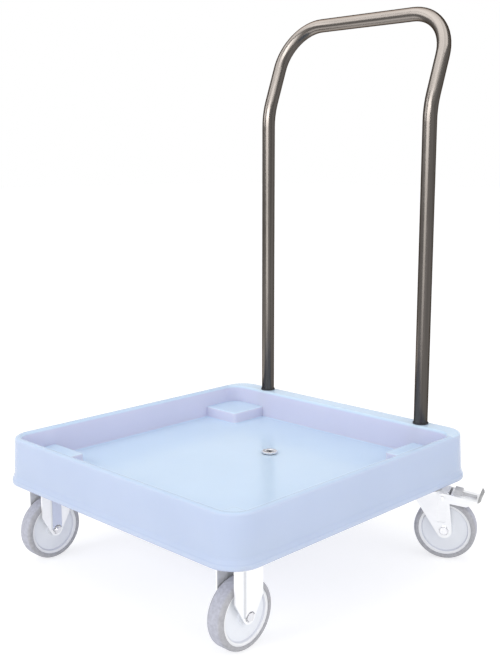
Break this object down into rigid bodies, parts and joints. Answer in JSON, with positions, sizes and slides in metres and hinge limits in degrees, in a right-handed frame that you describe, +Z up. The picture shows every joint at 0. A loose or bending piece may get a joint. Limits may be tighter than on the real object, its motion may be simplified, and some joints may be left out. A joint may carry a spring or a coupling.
{
  "type": "dish rack dolly",
  "caption": "Low dolly for a square dish rack: moulded light-blue tray with corner pads and a drain, bent steel tube handle, fixed front casters and braked swivel rear casters.",
  "frame": {"origin": "on the floor, under the middle of the outer box of the dolly at rest", "axes": "+Z up, +Y from the front towards the handle, +X to the right seen from the front looking along +Y"},
  "size_m": [0.6342, 0.6222, 0.9225],
  "materials": {
    "tray_plastic": "smooth moulded, slight sheen",
    "handle_steel": "brushed stainless",
    "black_rubber": "matt",
    "steel": "bright zinc plate",
    "zinc": "pressed sheet, bright zinc plate",
    "drain_chrome": "polished",
    "wheel_grey": "smooth moulded",
    "tyre_grey": "matt non-marking grey",
    "release_grey": "matt"
  },
  "bodies": {
    "dolly": {"tray": "tray_plastic", "handle_tube": "handle_steel", "handle_seals": "black_rubber", "handle_plugs": "steel", "handle_bolts": "steel", "handle_washers": "steel", "drain_body": "drain_chrome", "drain_gasket": "black_rubber", "drain_back_nut": "steel", "front_left_bracket": "zinc", "front_left_screws": "steel", "front_left_axle_bolt": "steel", "front_left_axle_nut": "steel", "front_left_axle_sleeve": "steel", "rear_left_top_plate": "zinc", "rear_left_screws": "steel", "rear_left_kingpin": "steel", "front_right_bracket": "zinc", "front_right_screws": "steel", "front_right_axle_bolt": "steel", "front_right_axle_nut": "steel", "front_right_axle_sleeve": "steel", "rear_right_top_plate": "zinc", "rear_right_screws": "steel", "rear_right_kingpin": "steel"},
    "front_left_wheel": {"front_left_hub": "wheel_grey", "front_left_tyre": "tyre_grey"},
    "rear_left_swivel": {"rear_left_fork": "zinc", "rear_left_balls": "steel", "rear_left_pivot_pin": "steel", "rear_left_axle_bolt": "steel", "rear_left_axle_nut": "steel", "rear_left_axle_sleeve": "steel"},
    "rear_left_wheel": {"rear_left_hub": "wheel_grey", "rear_left_tyre": "tyre_grey"},
    "rear_left_brake": {"rear_left_pedal": "zinc", "rear_left_release": "release_grey", "rear_left_shoe": "black_rubber"},
    "front_right_wheel": {"front_right_hub": "wheel_grey", "front_right_tyre": "tyre_grey"},
    "rear_right_swivel": {"rear_right_fork": "zinc", "rear_right_balls": "steel", "rear_right_pivot_pin": "steel", "rear_right_axle_bolt": "steel", "rear_right_axle_nut": "steel", "rear_right_axle_sleeve": "steel"},
    "rear_right_wheel": {"rear_right_hub": "wheel_grey", "rear_right_tyre": "tyre_grey"},
    "rear_right_brake": {"rear_right_pedal": "zinc", "rear_right_release": "release_grey", "rear_right_shoe": "black_rubber"}
  },
  "joints": [
    {"name": "front_left_roll", "type": "hinge", "parent": "dolly", "child": "front_left_wheel", "pos_m": [-0.227, -0.25155, 0.05175], "axis": [1, 0, 0], "continuous": true},
    {"name": "rear_left_swivel_turn", "type": "hinge", "parent": "dolly", "child": "rear_left_swivel", "pos_m": [-0.227, 0.20045, 0.1175], "axis": [0, 0, 1], "continuous": true},
    {"name": "rear_left_roll", "type": "hinge", "parent": "rear_left_swivel", "child": "rear_left_wheel", "pos_m": [-0.256, 0.21397, 0.05175], "axis": [-0.4226, -0.9063, 0], "continuous": true},
    {"name": "rear_left_brake_press", "type": "hinge", "parent": "rear_left_swivel", "child": "rear_left_brake", "pos_m": [-0.25238, 0.21228, 0.10975], "axis": [-0.4226, -0.9063, 0], "range_deg": [0, 5]},
    {"name": "front_right_roll", "type": "hinge", "parent": "dolly", "child": "front_right_wheel", "pos_m": [0.227, -0.25155, 0.05175], "axis": [1, 0, 0], "continuous": true},
    {"name": "rear_right_swivel_turn", "type": "hinge", "parent": "dolly", "child": "rear_right_swivel", "pos_m": [0.227, 0.20045, 0.1175], "axis": [0, 0, 1], "continuous": true},
    {"name": "rear_right_roll", "type": "hinge", "parent": "rear_right_swivel", "child": "rear_right_wheel", "pos_m": [0.256, 0.21397, 0.05175], "axis": [-0.4226, 0.9063, 0], "continuous": true},
    {"name": "rear_right_brake_press", "type": "hinge", "parent": "rear_right_swivel", "child": "rear_right_brake", "pos_m": [0.25238, 0.21228, 0.10975], "axis": [-0.4226, 0.9063, 0], "range_deg": [0, 5]}
  ]
}
